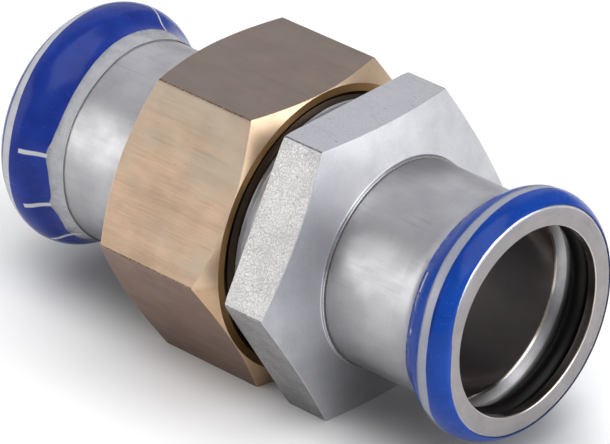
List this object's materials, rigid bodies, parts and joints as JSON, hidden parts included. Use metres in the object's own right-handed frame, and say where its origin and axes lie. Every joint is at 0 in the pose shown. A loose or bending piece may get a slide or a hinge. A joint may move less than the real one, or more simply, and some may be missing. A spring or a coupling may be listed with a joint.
{
  "type": "threaded press union fitting",
  "caption": "Straight union for pressed tube: hexagon steel body, gunmetal union nut and a press socket at each end.",
  "frame": {"origin": "on the pipe axis, midway between the two mouths", "axes": "+X along the pipe axis, out of the threaded body's mouth; +Z normal to the top flats of the nut and the body; +Y completes the right-handed frame"},
  "size_m": [0.0882, 0.0504, 0.0438],
  "materials": {
    "gunmetal": "milled flats, bright turned chamfers",
    "turned_steel": "turned stainless steel, satin",
    "formed_steel": "pickled stainless tube, satin",
    "seal_rubber": "smooth black rubber",
    "gasket_fibre": "pressed fibre",
    "printed_film": "shrunk clear film, printed blue"
  },
  "bodies": {
    "body_side": {"threaded_body": "turned_steel", "front_press_socket": "formed_steel", "front_o_ring": "seal_rubber", "front_indicator_film": "printed_film", "flat_gasket": "gasket_fibre"},
    "tail_side": {"tail_collar": "turned_steel", "rear_press_socket": "formed_steel", "rear_o_ring": "seal_rubber", "rear_indicator_film": "printed_film"},
    "nut": {"union_nut": "gunmetal"}
  },
  "joints": [
    {"name": "tail_slide", "type": "slide", "parent": "body_side", "child": "tail_side", "axis": [1, 0, 0], "range_m": [-0.0105, 0]},
    {"name": "nut_spin", "type": "hinge", "parent": "tail_side", "child": "nut", "pos_m": [0, 0, 0], "axis": [1, 0, 0], "range_deg": [-2520, 0]}
  ],
  "couplings": [
    {"joint": "tail_slide", "follows": "nut_spin", "m_per_rad": 0.00023873}
  ]
}
